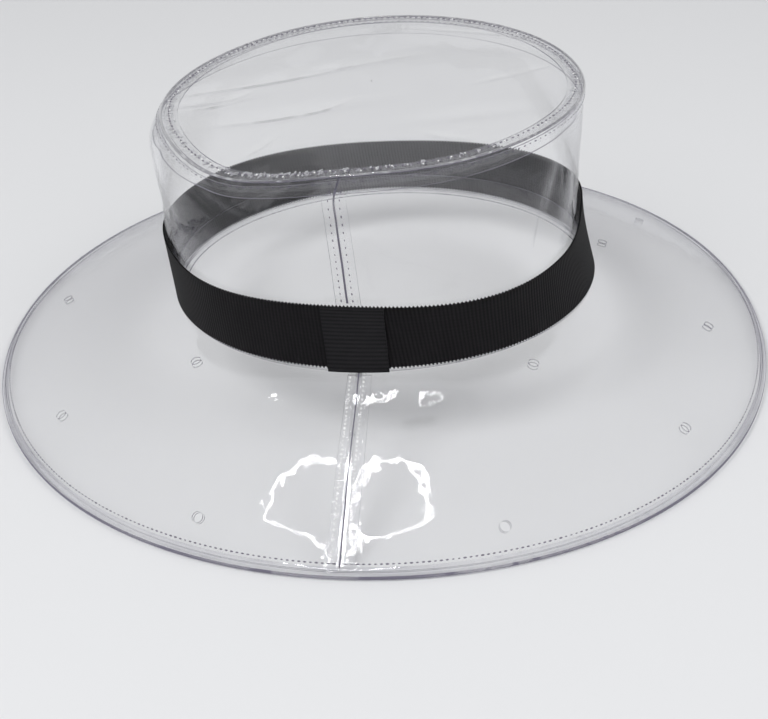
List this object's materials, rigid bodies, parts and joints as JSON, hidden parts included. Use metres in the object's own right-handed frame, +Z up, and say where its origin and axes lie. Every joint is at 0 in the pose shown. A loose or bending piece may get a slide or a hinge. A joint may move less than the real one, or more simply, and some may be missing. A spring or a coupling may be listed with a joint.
{
  "type": "wide-brim rain hat",
  "caption": "Clear vinyl rain hat with a flat-topped crown, a wide gently sloping brim with vent holes, and a black ribbon band.",
  "frame": {"origin": "middle of the footprint of the brim's edge, on the surface that the hat rests on", "axes": "+Z up towards the flat top of the crown; -Y towards the centre back, where the seams and the keeper are; +Y towards the front; +X to the right as seen from the back"},
  "size_m": [0.326, 0.3386, 0.1147],
  "materials": {
    "clear_vinyl": "clear flexible vinyl sheet, high gloss, faintly cool, with fine ripples",
    "grosgrain": "black ribbed ribbon, matt, with scalloped edges"
  },
  "bodies": {
    "root": {"crown_tip": "clear_vinyl", "crown_side": "clear_vinyl", "tip_allowance": "clear_vinyl", "side_allowance": "clear_vinyl", "head_seam": "clear_vinyl", "crown_back_seam": "clear_vinyl", "brim_upper": "clear_vinyl", "brim_under": "clear_vinyl", "brim_edge": "clear_vinyl", "brim_back_seam": "clear_vinyl", "ribbon_band": "grosgrain", "band_keeper": "grosgrain"}
  },
  "joints": []
}
